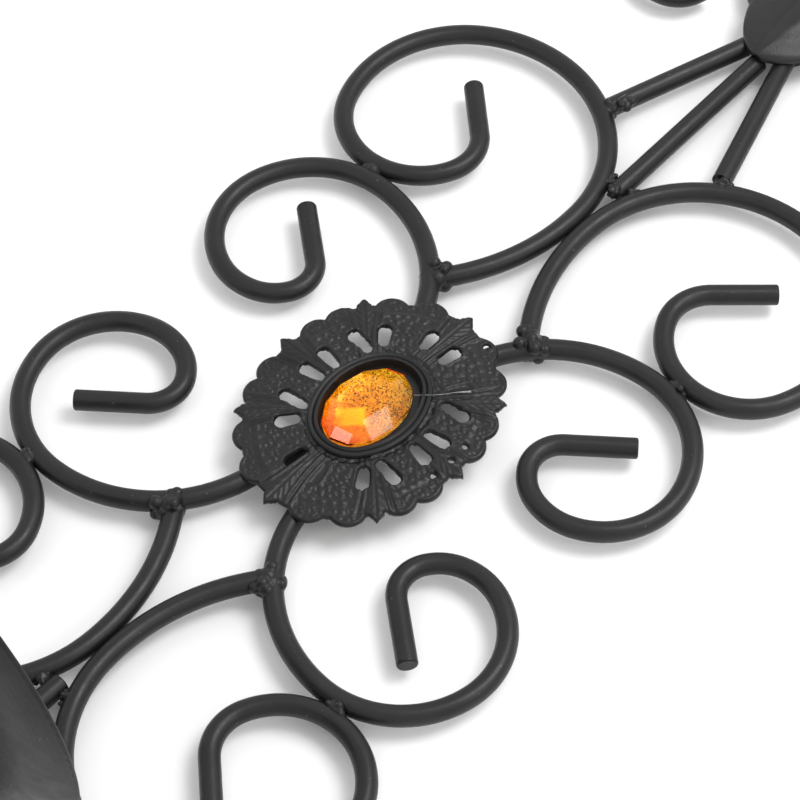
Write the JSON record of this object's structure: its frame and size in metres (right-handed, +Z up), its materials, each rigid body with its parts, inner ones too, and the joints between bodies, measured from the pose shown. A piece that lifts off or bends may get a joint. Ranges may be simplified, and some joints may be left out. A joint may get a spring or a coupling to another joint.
{
  "type": "wall sconce candle holder",
  "caption": "Wall sconce candle holder: a flat panel of bent wire scrolls with a pressed leaf, a pierced medallion with an oval amber stone, and a round candle pan on a forward arm.",
  "frame": {"origin": "middle of the hanger tab's screw hole, halfway through the tab's sheet", "axes": "+X right as seen from the room, +Y into the wall, +Z up"},
  "size_m": [0.149, 0.1252, 0.4148],
  "materials": {
    "black_powder_coat": "satin black powder coat over steel wire and sheet",
    "amber_stone": "faceted clear amber stone",
    "gold_foil": "crinkled gold foil behind the stone",
    "zinc_steel": "zinc plated steel"
  },
  "bodies": {
    "root": {"small_scroll_left": "black_powder_coat", "small_scroll_right": "black_powder_coat", "large_scroll_top_left": "black_powder_coat", "large_scroll_top_right": "black_powder_coat", "large_scroll_bottom_left": "black_powder_coat", "large_scroll_bottom_right": "black_powder_coat", "strut_top_left": "black_powder_coat", "strut_top_centre": "black_powder_coat", "strut_top_right": "black_powder_coat", "strut_bottom_left": "black_powder_coat", "strut_bottom_centre": "black_powder_coat", "strut_bottom_right": "black_powder_coat", "crown_curl_left": "black_powder_coat", "crown_curl_right": "black_powder_coat", "leaf": "black_powder_coat", "medallion": "black_powder_coat", "medallion_back_strap": "black_powder_coat", "medallion_rivet": "zinc_steel", "bezel": "black_powder_coat", "stone_foil": "gold_foil", "stone": "amber_stone", "candle_pan": "black_powder_coat", "pan_boss": "black_powder_coat", "pan_screw": "zinc_steel", "pan_arm": "black_powder_coat", "hanger_tab": "black_powder_coat", "weld_beads": "black_powder_coat"}
  },
  "joints": []
}
